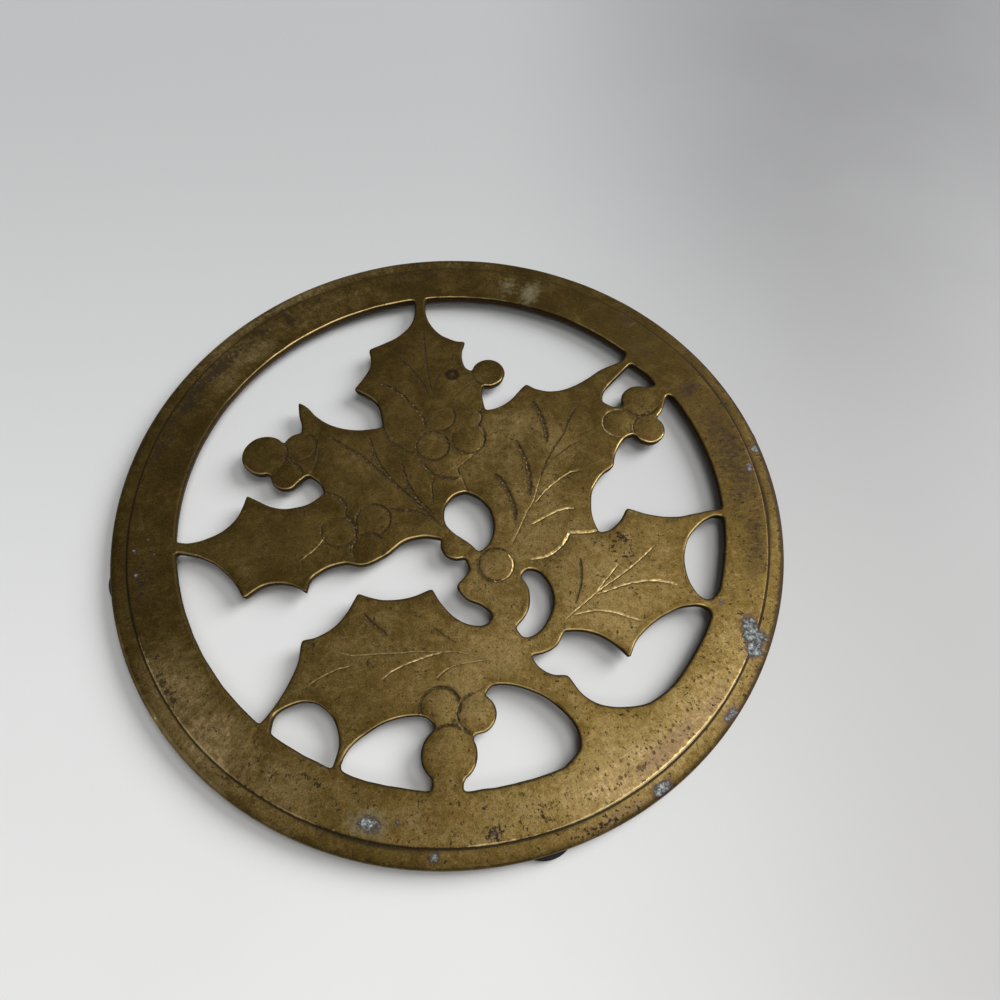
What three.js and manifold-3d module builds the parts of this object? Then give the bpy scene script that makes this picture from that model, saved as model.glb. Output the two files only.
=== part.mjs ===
import * as THREE from "three";
import { mergeVertices } from "three/addons/utils/BufferGeometryUtils.js";
import Module from "manifold-3d";

// Round brass trivet: one flat casting pierced with holly leaves and berries, on glued rubber pads.
// Millimetres, +Z up. The origin is the centre of the base, on the table.

// Plate
const PLATE_RADIUS = 101.5;
const PLATE_THICKNESS = 2.75;
const BAND_WIDTH = 18.7;
const BACK_EDGE_BREAK = 0.35;

// Low step and rounded lip round the plate's top edge
const LIP_WIDTH = 5.2;
const LIP_DROP = 0.45;
const LIP_ROUNDING = 1.1;

// Openwork: the pierced holly, drawn inside the band's inner circle
const OPENWORK_CENTRE_X = 0.3;
const OPENWORK_CENTRE_Y = -0.3;
const CORNER_TRIM = 0.9;
const ARRIS = 0.3;

// Foot pads
const PAD_RADIUS = 8.75;
const PAD_HEIGHT = 2.75;
const PAD_OVERHANG = 1.15;
const PAD_DRAFT = 0.3;
const PAD_SHOULDER = 0.6;
const PAD_FOOT_ROUNDING = 0.5;
const FIRST_PAD_DEGREES = -75.3;
const PAD_NAMES = ["front", "right", "back", "left"];

// Fineness of the facets
const CHORD_ERROR = 0.1;
const LONGEST_CHORD = 7;
const CORNER_STEPS = 3;
const LARGEST_TRIM = 0.4;
const ROUNDING_STEPS = 3;
const PLATE_SEGMENTS = 96;
const PAD_SEGMENTS = 28;
const CUT_MARGIN = 0.05;
const CUT_BELOW = 2;

const openworkRadius = PLATE_RADIUS - BAND_WIDTH;
const plateTop = PAD_HEIGHT + PLATE_THICKNESS;
const degrees = THREE.MathUtils.degToRad;

// The holly is drawn in hundredths of the openwork's radius, so that it always fills its band
const drawingUnit = openworkRadius / 100;

// Berries whose round edge is part of an opening's edge: centre x, centre y, radius
const BERRIES = {
  leftLarge: [-71.7, 20.2, 8.5],
  leftUpper: [-58.8, 23.9, 6.3],
  leftLower: [-62.3, 11.1, 5.8],
  top: [13.6, 59.8, 6.7],
  rightUpper: [74.4, 46.1, 7.4],
  rightOuter: [76.7, 32.7, 6.4],
  centreSmall: [1.6, -16.9, 5.9],
  bottomLarge: [0, -89.6, 9],
  bottomUpper: [8.7, -76.9, 6.5],
};

// Stretch of edge along a leaf: the points it passes, from the corner where the last stretch ends.
// It runs to its last point, or on to the arc that follows it.
function leaf(...points) {
  return points.map(([x, y]) => new THREE.Vector2(x, y).multiplyScalar(drawingUnit));
}

function arc(x, y, radius, from, to) {
  return new THREE.EllipseCurve(x, y, radius, radius, degrees(from), degrees(to), to < from);
}

// Stretch of edge round a berry, between two angles in degrees
function berry(name, from, to) {
  const [x, y, radius] = BERRIES[name].map((size) => size * drawingUnit);
  return arc(x, y, radius, from, to);
}

// Stretch of edge along the rim band, between two angles in degrees
function rim(from, to) {
  return arc(OPENWORK_CENTRE_X, OPENWORK_CENTRE_Y, openworkRadius, from, to);
}

function upperLeftOpening() {
  return [
    rim(100.6, 188.8),
    leaf([-93.7, -16.2], [-87.9, -14.6], [-81.6, -10.6], [-77.9, -5.3], [-76, 3.1]),
    leaf([-71.1, 0.4], [-64.9, -2.1], [-59.2, -2.3], [-53.3, -0.6], [-47.6, 4]),
    leaf([-50.1, 8.2], [-54.3, 11.4]),
    leaf([-56.8, 9.3]),
    berry("leftLower", -60, -181),
    berry("leftLarge", -69, -323),
    berry("leftUpper", 165, 92),
    leaf([-59.3, 34.3], [-60.6, 38.2], [-61.7, 44.7]),
    leaf([-57.5, 42], [-53.7, 37.9], [-47.9, 34.1], [-41.1, 32.1], [-33.8, 32], [-27.9, 33.2]),
    leaf([-28.9, 39.1], [-31.9, 45.5], [-40.3, 51]),
    leaf([-37, 56.4], [-34.8, 61.6], [-34.5, 65.9], [-35.7, 71.1]),
    leaf([-31.4, 73.6], [-25.6, 76.9], [-20.8, 81.6], [-18.1, 87.4], [-17.5, 93.6]),
  ];
}

function upperRightOpening() {
  return [
    rim(97.8, 45.1),
    leaf([69.3, 66.8], [65.8, 64.7], [59.5, 61.4], [53.3, 56.6], [47, 52.8], [40.1, 50.7], [33.3, 51.7],
      [28.9, 54.2]),
    leaf([25.8, 50.6], [21.6, 45.7], [16.4, 42.3], [12.4, 41.5]),
    leaf([11.4, 45.9], [11.1, 50.1]),
    berry("top", -107, 174),
    leaf([4.6, 62.1], [3, 66.4], [2.9, 70.7], [4.1, 75.7]),
    leaf([0.1, 76.2], [-6.2, 79.5], [-10.6, 85], [-12.8, 91.1]),
  ];
}

function smallUpperRightOpening() {
  return [
    leaf([76.4, 61.5], [79.2, 58.2], [81.4, 53.7]),
    leaf([79.1, 53.4]),
    berry("rightUpper", 70, 201),
    leaf([63.2, 43.5], [59.4, 45.7]),
    leaf([60, 49.8], [62.9, 53.9], [67.6, 59.2], [72.7, 64.7]),
  ];
}

function rightOpening() {
  return [
    rim(29.2, -1.3),
    leaf([93.6, -3.6], [87.3, -5.1], [80.3, -5.9], [72.7, -4.8], [64.7, -2.2]),
    leaf([61.6, -7.5], [57.5, -11.1], [53.6, -12.2]),
    leaf([51.8, -6.4], [51.6, 0.4], [52.8, 6.2], [56.4, 11.7], [61.2, 15.5]),
    leaf([62.4, 20.9], [64.9, 26], [67.9, 29.2]),
    berry("rightOuter", -158, 54),
    leaf([83.2, 41.9], [85.6, 48.7]),
    leaf([86.6, 48.9]),
  ];
}

function rightSlot() {
  return [
    rim(-3.2, -20.1),
    leaf([92.5, -37], [90, -38.3], [87.4, -37], [85, -33.1], [83.7, -27.2], [84.3, -19.9], [87, -13.6],
      [92, -8.5], [97, -5.8]),
  ];
}

function lowerRightOpening() {
  return [
    rim(-25.7, -43),
    leaf([65.9, -73.6], [57.9, -75.1], [49.5, -74.3], [43.7, -71], [39, -64.4]),
    leaf([34.2, -64.3], [29.5, -61.6], [27.1, -57.9]),
    leaf([31, -57.2], [35.9, -54.6], [38.8, -49.5]),
    leaf([44.2, -49.4], [50.5, -51], [55.8, -54.3], [60.4, -58.9]),
    leaf([63.6, -52.7], [69.4, -47.1], [75.7, -43.2], [82, -40.9], [88.4, -41.1]),
  ];
}

function crescent() {
  return [
    leaf([26.9, -26.9], [30.3, -27.4], [33.5, -31.2], [35.3, -37], [34.2, -43.2], [29.5, -50],
      [24.9, -51.4], [22.1, -48.2]),
    leaf([25.4, -44.3], [27.2, -39.9], [27.1, -34.1], [24.4, -29]),
  ];
}

function centreOpening() {
  return [
    leaf([0.1, 2.5], [-2.8, -2.2], [-2.8, -7.7], [0.4, -12.2], [5, -15.5], [9.7, -19.8]),
    leaf([13.5, -16.1], [14.9, -9.7], [13.5, -3.3], [9.9, 1.7], [4.3, 4.6]),
  ];
}

function lowerLeftOpening() {
  return [
    rim(191.4, 232.4),
    leaf([-56.4, -73.7], [-52.8, -66.5], [-50.7, -59.7], [-50.2, -52.2]),
    leaf([-44.6, -50.7], [-39.1, -46.9], [-35.3, -41.5], [-32.6, -35.4]),
    leaf([-26.6, -37.4], [-20.3, -37.9], [-13.6, -36.7], [-6.8, -33.8]),
    leaf([-4, -38.6], [0.5, -43.7], [6.3, -46.9], [11.6, -46.9], [13.8, -44.3], [11.1, -40.5], [5, -37.6],
      [1.8, -33.1], [4.2, -29.8], [6, -26.8]),
    berry("centreSmall", -62, -201),
    leaf([-10.9, -14], [-17.5, -16.2], [-24, -21.6], [-31.4, -25.1], [-37.8, -24.4], [-43.6, -26.1],
      [-48.8, -30.1], [-50.2, -35.5]),
    leaf([-54.3, -32.9], [-60, -31.9], [-65.3, -32.9], [-71.5, -37.4]),
    leaf([-75.8, -31.3], [-81.6, -25.8], [-88.9, -22]),
  ];
}

function smallLowerLeftOpening() {
  return [
    rim(235.1, 248.4),
    leaf([-34.9, -86.2], [-37.3, -78.4], [-42.3, -73.8], [-47, -72.9], [-52.2, -74.2], [-55.9, -77.1]),
  ];
}

function bottomLeftOpening() {
  return [
    rim(252.1, 267),
    berry("bottomLarge", -121, -233),
    leaf([-4.7, -80.8]),
    leaf([-7.6, -78.1], [-13.3, -77.7], [-21, -79.8], [-27.3, -83.6], [-31.9, -88.2], [-33.6, -93.4]),
  ];
}

function bottomRightOpening() {
  return [
    rim(291.2, 272),
    berry("bottomLarge", -61, 37),
    berry("bottomUpper", -95, 66),
    leaf([14.1, -68], [20.5, -67.9], [30.1, -71.4], [36.4, -76.2], [40.6, -81.8], [41.3, -87.9]),
  ];
}

// Curves of a whole opening, with each leaf stretch tied to the stretches before and after it
function joined(stretches) {
  return stretches.map((stretch, index) => {
    if (!Array.isArray(stretch)) {
      return stretch;
    }
    const before = stretches.at(index - 1);
    const after = stretches[(index + 1) % stretches.length];
    const start = Array.isArray(before) ? before.at(-1) : before.getPoint(1);
    const end = Array.isArray(after) ? [] : [after.getPoint(0)];
    const points = [start, ...stretch, ...end].map(({ x, y }) => new THREE.Vector3(x, y, 0));
    return new THREE.CatmullRomCurve3(points, false, "centripetal");
  });
}

// Points along part of a curve, close enough that no chord leaves it by more than CHORD_ERROR
function flatten(curve, start, end) {
  const from = curve.getPointAt(start);
  const to = curve.getPointAt(end);
  const middle = (start + end) / 2;
  const bulge = curve.getPointAt(middle).distanceTo(from.clone().lerp(to, 0.5));
  if (bulge < CHORD_ERROR && from.distanceTo(to) < LONGEST_CHORD) {
    return [from];
  }
  return [...flatten(curve, start, middle), ...flatten(curve, middle, end)];
}

// Closed outline of an opening: each stretch trimmed at both ends, and the corners rounded between
function outline(stretches) {
  const curves = joined(stretches);
  const trimmed = curves.map((curve) => {
    const trim = Math.min(CORNER_TRIM / curve.getLength(), LARGEST_TRIM);
    return [...flatten(curve, trim, 1 - trim), curve.getPointAt(1 - trim)];
  });
  const points = trimmed.flatMap((stretch, index) => {
    const next = (index + 1) % curves.length;
    const corner = curves[index].getPoint(1).clone().lerp(curves[next].getPoint(0), 0.5);
    const [from, to] = [stretch.at(-1), trimmed[next][0]];
    const rounding = new THREE.QuadraticBezierCurve(from, corner, to);
    return [...stretch, ...rounding.getPoints(CORNER_STEPS).slice(1, CORNER_STEPS)];
  });
  return points.map(({ x, y }) => new THREE.Vector2(x, y));
}

// Solid of revolution about +Z from a profile of [radius, height] points
function revolve(profile, segments) {
  const points = profile.map(([radius, height]) => new THREE.Vector2(radius, height));
  return new THREE.LatheGeometry(points, segments).rotateX(Math.PI / 2);
}

// Disc of the plate before it is pierced: bottom, rounded lip, low step, flat top
function blankGeometry() {
  const lipTop = plateTop - LIP_DROP;
  const rounding = [];
  for (let step = ROUNDING_STEPS; step >= 0; step -= 1) {
    const turn = (step / ROUNDING_STEPS) * (Math.PI / 2);
    rounding.push([
      PLATE_RADIUS - LIP_ROUNDING * (1 - Math.sin(turn)),
      lipTop - LIP_ROUNDING * (1 - Math.cos(turn)),
    ]);
  }
  return revolve([
    [0, PAD_HEIGHT],
    [PLATE_RADIUS - BACK_EDGE_BREAK, PAD_HEIGHT],
    [PLATE_RADIUS, PAD_HEIGHT + BACK_EDGE_BREAK],
    ...rounding,
    [PLATE_RADIUS - LIP_WIDTH, lipTop],
    [PLATE_RADIUS - LIP_WIDTH, plateTop],
    [0, plateTop],
  ], PLATE_SEGMENTS);
}

// Body that cuts one opening; it flares at the top, so the face's edge comes out with a small arris
function cutterGeometry(stretches) {
  const flare = ARRIS + CUT_MARGIN;
  const bottom = PAD_HEIGHT - CUT_BELOW;
  const geometry = new THREE.ExtrudeGeometry(new THREE.Shape(outline(stretches)), {
    depth: plateTop - ARRIS - bottom,
    bevelSegments: 1,
    bevelThickness: flare,
    bevelSize: -flare,
    bevelOffset: flare,
  });
  return geometry.translate(0, 0, bottom);
}

const wasm = await Module();
wasm.setup();

// Closed solid from a geometry, with shared points merged and empty facets left out
function solidOf(geometry) {
  const bare = geometry.clone();
  bare.deleteAttribute("normal");
  bare.deleteAttribute("uv");
  const merged = mergeVertices(bare);
  const corners = merged.index.array;
  const facets = [];
  for (let i = 0; i < corners.length; i += 3) {
    const [a, b, c] = corners.slice(i, i + 3);
    if (a !== b && b !== c && c !== a) {
      facets.push(a, b, c);
    }
  }
  return new wasm.Manifold(new wasm.Mesh({
    numProp: 3,
    vertProperties: merged.attributes.position.array,
    triVerts: new Uint32Array(facets),
  }));
}

function geometryOf(solid) {
  const { vertProperties, triVerts } = solid.getMesh();
  const geometry = new THREE.BufferGeometry();
  geometry.setAttribute("position", new THREE.BufferAttribute(vertProperties, 3));
  geometry.setIndex(new THREE.BufferAttribute(triVerts, 1));
  geometry.computeVertexNormals();
  return geometry;
}

function openworkPlate() {
  const openings = [
    upperLeftOpening(),
    upperRightOpening(),
    smallUpperRightOpening(),
    rightOpening(),
    rightSlot(),
    lowerRightOpening(),
    crescent(),
    centreOpening(),
    lowerLeftOpening(),
    smallLowerLeftOpening(),
    bottomLeftOpening(),
    bottomRightOpening(),
  ];
  const pierced = openings.reduce(
    (plate, stretches) => plate.subtract(solidOf(cutterGeometry(stretches))),
    solidOf(blankGeometry()),
  );
  const brass = new THREE.MeshStandardMaterial({ color: 0x8a6f35, roughness: 0.4, metalness: 1 });
  const mesh = new THREE.Mesh(geometryOf(pierced), brass);
  mesh.name = "openwork_plate";
  return mesh;
}

// Round moulded pad: flat foot, slightly drafted side and a rounded shoulder under the plate
function padGeometry() {
  const footRadius = PAD_RADIUS - PAD_DRAFT;
  return revolve([
    [0, 0],
    [footRadius - PAD_FOOT_ROUNDING, 0],
    [footRadius, PAD_FOOT_ROUNDING],
    [PAD_RADIUS, PAD_HEIGHT - PAD_SHOULDER],
    [PAD_RADIUS - PAD_SHOULDER * 0.3, PAD_HEIGHT - PAD_SHOULDER * 0.3],
    [PAD_RADIUS - PAD_SHOULDER, PAD_HEIGHT],
    [0, PAD_HEIGHT],
  ], PAD_SEGMENTS);
}

function footPad(name, index) {
  const rubber = new THREE.MeshStandardMaterial({ color: 0x2a2629, roughness: 0.75, metalness: 0 });
  const mesh = new THREE.Mesh(padGeometry(), rubber);
  const angle = degrees(FIRST_PAD_DEGREES + (360 / PAD_NAMES.length) * index);
  const distance = PLATE_RADIUS + PAD_OVERHANG - PAD_RADIUS;
  mesh.position.set(distance * Math.cos(angle), distance * Math.sin(angle), 0);
  mesh.name = `foot_pad_${name}`;
  return mesh;
}

const trivet = new THREE.Group();
trivet.add(openworkPlate());
trivet.add(...PAD_NAMES.map(footPad));

export default trivet;
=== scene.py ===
import math
import random
from collections import Counter

import bpy
import numpy as np
from mathutils import Matrix, Vector
from mathutils.geometry import delaunay_2d_cdt
from mathutils.kdtree import KDTree


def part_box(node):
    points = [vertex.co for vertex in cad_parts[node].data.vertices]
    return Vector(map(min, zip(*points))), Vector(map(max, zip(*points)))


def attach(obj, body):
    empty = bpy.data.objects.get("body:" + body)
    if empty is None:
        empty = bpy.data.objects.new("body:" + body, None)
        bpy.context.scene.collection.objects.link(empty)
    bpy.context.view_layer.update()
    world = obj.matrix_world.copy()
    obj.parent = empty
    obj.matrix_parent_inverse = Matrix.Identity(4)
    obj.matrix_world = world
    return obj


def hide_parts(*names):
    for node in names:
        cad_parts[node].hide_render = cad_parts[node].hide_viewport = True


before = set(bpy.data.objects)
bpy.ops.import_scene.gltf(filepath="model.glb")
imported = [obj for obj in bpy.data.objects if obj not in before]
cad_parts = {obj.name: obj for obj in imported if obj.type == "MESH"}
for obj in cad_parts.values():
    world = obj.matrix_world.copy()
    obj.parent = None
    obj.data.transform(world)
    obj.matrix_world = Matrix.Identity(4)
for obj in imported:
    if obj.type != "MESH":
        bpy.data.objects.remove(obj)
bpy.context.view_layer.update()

# Holly trivet: the looks of an engraved, tarnished brass casting on rubber pads.
# Sizes are in millimetres, in the frame of the CAD model, until a mesh is made.

MM = 0.001

plate_low, plate_high = (Vector(corner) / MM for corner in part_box("openwork_plate"))
PLATE_RADIUS = plate_high.x
PLATE_BOTTOM = plate_low.z
PLATE_TOP = plate_high.z

# Edges of the plate
ARRIS_RADIUS = 0.7
WALL_DRAFT = 0.42
BACK_EDGE_BREAK = 0.35
STEP_RADIUS = 96.3
STEP_DROP = 0.45
STEP_RUN = 0.28
STEP_ARRIS = 0.3
STEP_ARRIS_DROP = 0.12
LIP_ROUNDING = 1.1
LIP_ROUNDING_RUN = 2.2 * LIP_ROUNDING

# The band's finish fades in between these radii
BAND_START, BAND_FULL = 83, 86

# Spacing of the mesh's points
TRACE_SPACING = 0.2
STROKE_TRACE_SPACING = 0.3
OUTLINE_SPACING = 0.5
TOP_SPACING = 1.1
BACK_SPACING = 2.6
BLOT_SPACING = 0.4
STROKE_SPACING = 0.4
SAMPLE_SPACING = 0.12
NEAREST_POINTS = 0.16
NEAREST_TO_EDGE = 0.08
NEAREST_TO_BACK_EDGE = 0.7
RIM_POINTS = 1080
HEX_ROW_HEIGHT = 0.866

# Rows of points: in from the openings' edges, across a line in half widths, out from the step, round
# the lip, and down the walls as shares of their height
EDGE_ROWS = (0.1, 0.24, 0.42, 0.68, 1.05)
STROKE_ROWS = (0, 0.5, -0.5, 1.05, -1.05, 1.8, -1.8)
STEP_ROWS = (-1, -0.45, -0.25, -0.08, 0.08, 0.24, 0.42, 0.8)
LIP_ROWS = (98.2, 99.2, 99.9, 100.4, 100.8, 101.1, 101.3)
WALL_ROWS = (0.35, 0.7)

# Hand-made unevenness
OUTLINE_WOBBLE = 0.07
WALL_WOBBLE = 0.05
STROKE_WOBBLE = 0.09
FACE_UNDULATION = 0.05
BACK_UNDULATION = 0.12
WAVE_PEAK = 1.6
SEED = 11

# Share of their length to which the brushed streaks of the band are shortened
STREAK_RATIO = 0.14

# Engraving
GROOVE_DEPTH = 0.32
FULL_DEPTH_WIDTH = 0.7
BURR_HEIGHT = 0.03
OVERLAP_DROP = 0.16
OVERLAP_FADE = 1.8
BERRY_CROWN = 0.14
BERRY_LINE_WIDTH = 0.72

# How strongly punch marks show along each kind of line
VEIN_DOTS, OVERLAP_DOTS, BERRY_DOTS = 0.26, 0.5, 0.4

# Columns of the engraved lines' samples
PLACE, HALF_WIDTH, DEPTH, NORMAL, LOW_SIDE, SHOWN, BRIGHT = slice(0, 2), 2, 3, slice(4, 6), 6, 7, 8

# Direction across the lines towards the side where their highlights are painted
LIT_SIDE = np.array([-0.6, 0.8])

# How quickly a mark fades away from its middle
MARK_FALLOFF = 0.9

# The rubber pads' turned profile
PAD_SEGMENTS = 96
PAD_FOOT_INSET = 0.3
PAD_DISH = 0.16
PAD_FOOT_ROUNDING = 0.55
PAD_SHOULDER_ROUNDING = 0.62

# Lamps: name, direction that the light comes from, width in degrees, strength, colour
LAMPS = [
    ("overhead", (0.27, 0.075, 1.0), 32, 1.05, (1, 0.985, 0.96)),
    ("window", (0.8, 0.38, 0.6), 36, 3.25, (0.98, 0.99, 1)),
    ("ceiling", (0.1, -0.62, 0.9), 26, 0.43, (1, 0.99, 0.97)),
]

# Berries outlined on the face: centre x and y, radius, the line's two ends in degrees, strength,
# share painted bright as a highlight
BERRY_LINES = [
    (-6.8, 20.3, 5.3, 60, 400, 0.75, 0.2), (4.6, 23, 5.4, 150, 375, 0.6, 0.25),
    (-5.2, 31.6, 5.5, 165, 395, 0.35, 0.2), (53.8, 29.2, 5.3, 75, 285, 0.9, 0.6),
    (61.6, 38.2, 6.1, 215, 330, 0.6, 0.4), (63.5, 27.1, 5.3, 115, 200, 0.8, 0.5),
    (12.9, -20.7, 5.2, 60, 290, 0.6, 0.25), (12.9, -20.7, 5.2, 260, 400, 0.9, 0.95),
    (1.3, -14, 4.9, 20, 115, 0.7, 0.5), (-24, -6, 5.2, -60, 215, 0.75, 0.35),
    (-34, -9.5, 5.4, 160, 400, 0.75, 0.4), (-25, -15.5, 5.2, 40, 200, 0.6, 0.4),
    (-48.7, 19.8, 5.2, -150, 60, 0.75, 0.3), (-51.6, 9.2, 4.8, 10, 110, 0.6, 0.3),
    (-59.4, 16.7, 7.05, -40, 30, 0.7, 0.2), (-2.6, -62, 5.4, -15, 220, 0.75, 0.3),
    (7.2, -63.7, 5.4, 100, 230, 0.8, 0.5), (0, -74.2, 7.45, 45, 130, 0.7, 0.4),
    (11.3, 49.5, 5.55, 175, 250, 0.5, 0.2),
]

# Lines where one leaf passes over another: width, strength, share painted bright as a highlight,
# side that lies lower, points
OVERLAPS = [
    (0.8, 0.8, 0.3, 1, [(-23, 27.3), (-21.7, 23.8), (-19.9, 21.2), (-17.7, 20.1), (-15.1, 18.2),
        (-13, 17.5)]),
    (0.95, 1, 0.45, -1, [(9.5, 36), (8.3, 33.4), (8.8, 31.2), (7.9, 28.2), (9, 26.7), (9.9, 24.3),
        (9.4, 21.7), (9.2, 19.9)]),
    (0.7, 0.65, 0.6, -1, [(9.2, 19.9), (7.5, 18.2), (5.3, 16), (3.1, 13.8), (1.4, 11.9), (1.8, 9.9),
        (2.7, 8.2), (3.6, 6), (4.4, 4)]),
    (0.8, 0.9, 0.35, 1, [(-10.3, 14.3), (-8.2, 11.7), (-6, 9.7), (-3.8, 9), (-1.7, 8.4), (0.5, 8.4),
        (1.8, 9)]),
    (0.6, 0.7, 0.5, -1, [(-6, 9), (-6.7, 6.4), (-6.4, 3), (-6.2, 0.3)]),
    (0.9, 1, 0.3, 1, [(-39.7, 3.2), (-37.6, 2.7), (-35, 1.7), (-32.7, -1.4), (-32.5, -4.4),
        (-30.8, -6.2), (-29.3, -8.8), (-28.8, -11.8), (-29.5, -15.3), (-29, -18.3)]),
    (0.55, 0.6, 0.2, 1, [(-43, 19.5), (-42.9, 15.1), (-44.1, 10.8)]),
    (1, 1, 0.95, 1, [(43.7, -9.7), (39.7, -10.3), (35.4, -10.5), (34.7, -11.6), (33.2, -14), (31, -16.2),
        (28.4, -17.9), (25.8, -18.6), (23.7, -18.9)]),
]

# Veins: width, strength, share painted bright as a highlight, points from the tip towards the stem
VEINS = [
    (0.7, 0.75, 0.15, [(-41.9, 25.1), (-38.9, 23), (-35.8, 20.8), (-30.3, 17.3), (-27.3, 14.7),
        (-21.2, 9), (-16.4, 4.9), (-13.4, 2.1), (-9.9, -1.4), (-6.4, -4.9), (-4, -7.5)]),
    (0.75, 0.85, 0.15, [(-26.9, 23.4), (-25.8, 19.5), (-24.3, 15.6), (-22.1, 11.7), (-18.2, 6.9)]),
    (0.7, 0.85, 0.15, [(-16.2, 13.8), (-15.3, 9.9), (-14.3, 6.9), (-12.5, 3.8), (-9.9, -0.1),
        (-5.6, -4)]),
    (0.65, 0.9, 0.1, [(-19.5, -2.3), (-13.4, -2.9), (-9.9, -3.8), (-6.2, -5.5)]),
    (0.45, 0.5, 0.5, [(-33, 10.6), (-27, 10.4), (-22, 8.6), (-17.5, 5.6)]),
    (0.6, 0.5, 0.1, [(-11.3, 67), (-10.4, 59.5), (-9.5, 52.3), (-8.2, 44.5), (-7.5, 41)]),
    (0.65, 0.65, 0.1, [(-19, 55), (-16.4, 52.3), (-13.4, 48.9), (-11.2, 45.4), (-8.6, 40)]),
    (0.8, 0.95, 0.15, [(-25.1, 44.5), (-22.1, 43.2), (-18.6, 41), (-15.6, 38), (-12.5, 34.3),
        (-10.3, 30.8), (-9.5, 28.2), (-7.7, 26.4)]),
    (0.5, 0.45, 0.1, [(-5.6, 49.3), (-6, 46.3), (-7.3, 42.3)]),
    (0.45, 0.4, 0.2, [(5.1, 44.5), (3.1, 42.8), (0.6, 40.2)]),
    (0.6, 0.6, 0, [(40.2, 35.1), (38, 31.7), (36.3, 27.7), (35.4, 25.1), (30.6, 17.3), (27.3, 9)]),
    (0.5, 0.5, 0.75, [(27.3, 9), (24.5, -0.1), (22.8, -3.1), (21.3, -6.6), (19.7, -10.1), (18, -13.6)]),
    (0.95, 1, 0.05, [(25.8, 37.6), (27.6, 34.1), (28.9, 29.9), (29.7, 25.6), (29.7, 21.7)]),
    (0.95, 1, 0.1, [(20, 22.1), (21.9, 17.3), (23, 14.3), (23.7, 9.9), (23.8, 5.6), (23.7, 2.5)]),
    (0.95, 0.95, 0.1, [(13.1, 9.9), (15.3, 7.3), (17, 3.8), (18.3, 0.3), (19, -3.1), (19.1, -6.2)]),
    (0.6, 0.65, 0.9, [(39.5, 11.2), (36.7, 10.6), (34.1, 8.8), (31, 6.2), (28, 3.2), (25.4, -0.1)]),
    (0.85, 0.95, 1, [(37.1, -2.2), (34.5, -2.3), (31.9, -3.1), (28.9, -4.7), (26.3, -6.2),
        (24.1, -7.5)]),
    (0.5, 0.45, 0.3, [(40.2, 22.1), (37.6, 20.6), (35.4, 19), (32.4, 16.4)]),
    (0.65, 0.8, 1, [(33.1, -37.1), (35.7, -34.9), (40.1, -31.2), (44.4, -27.7), (48.8, -24.7),
        (53.1, -21.4), (57.5, -17.7), (60.6, -14.7)]),
    (0.6, 0.8, 0.9, [(41.8, -29.9), (44.4, -26.4), (47, -23.4), (49, -20.8)]),
    (0.85, 1, 1, [(41.8, -30.1), (46.2, -28.6), (50.5, -27.1), (54.9, -26.2), (59.2, -25.9),
        (63.1, -26.4), (65.5, -27.3)]),
    (0.75, 0.85, 0.9, [(35.3, -36.2), (38.3, -35.5), (41.8, -35), (45.3, -35.3), (48.8, -36.2),
        (51.8, -37.3), (53.8, -38)]),
    (0.6, 0.65, 0.35, [(37.8, -18.6), (38.1, -21.7), (37.9, -25.1), (37.3, -28.2), (36.4, -30.8),
        (35.7, -32.7)]),
    (0.55, 0.7, 0.8, [(-43.7, -18.8), (-39.7, -14.9), (-38, -11.8)]),
    (0.4, 0.35, 0.3, [(-63, -13.5), (-57, -12.6), (-50.5, -12.2), (-44, -11.4)]),
    (0.55, 0.6, 0.7, [(-33.9, -46), (-27, -47.7), (-20.4, -47.3), (-13.9, -47.1), (-9.6, -46.7),
        (-3, -46.9), (2.6, -46.9), (6.1, -48), (9.6, -48.8)]),
    (0.75, 1, 0.35, [(-24.8, -35.8), (-23.5, -37.3), (-21.7, -39), (-20, -40.3), (-17.8, -42.1)]),
    (0.7, 0.85, 0.85, [(-18.3, -54.3), (-15.7, -52.1), (-13, -50.6), (-9.6, -49.3), (-6.1, -48),
        (-2.6, -47.1)]),
    (0.65, 0.75, 0.7, [(-3.5, -54.3), (-2.2, -52.7), (0, -51.2), (2.6, -50.3), (6.1, -49.7),
        (9.6, -49.2)]),
    (0.6, 0.7, 0.7, [(-38, -55.6), (-35.2, -53.8), (-31.7, -51.9), (-27.4, -50.6)]),
    (0.4, 0.4, 0.3, [(-4.8, -39.9), (-2.6, -41.7), (1.5, -44.4)]),
]

# Marks on the band and its edges: angle in degrees, radius, half length along the band, half width
# across it, strength
CORROSION = [
    (335.2, 93.6, 3.2, 2.6, 0.72), (333.6, 95.4, 3.4, 2.8, 1), (331.6, 97.2, 3.2, 2.4, 1),
    (333.8, 98.6, 2.2, 1.6, 0.8), (319.6, 99.9, 3.2, 1.3, 0.7), (303.4, 99.7, 2.9, 1.7, 0.95),
    (257.6, 92.7, 2.9, 1.8, 0.9), (262, 91.1, 0.8, 0.7, 0.85), (268.2, 98.6, 1.3, 1.5, 0.78),
    (11.3, 99.1, 1.5, 1.2, 1.05), (7.4, 94.8, 2, 1.2, 0.78), (8.8, 91.6, 0.7, 0.6, 0.62),
    (337.1, 84.6, 1, 0.8, 0.66), (277, 93.8, 1.5, 1.4, 0.5), (194.6, 93.6, 0.9, 0.7, 0.6),
    (190, 94.4, 0.9, 0.7, 0.78), (191.3, 88.8, 0.6, 0.5, 0.78), (188, 90.5, 0.7, 0.5, 0.75),
]
HAZE = [
    (72.6, 88.8, 3.4, 5.6, 0.85), (78, 90, 3.8, 4.6, 0.6), (129, 99, 22, 1.6, 0.42),
    (262, 90, 8, 3, 0.2), (257.6, 92.7, 5, 3, 1),
]
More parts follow.
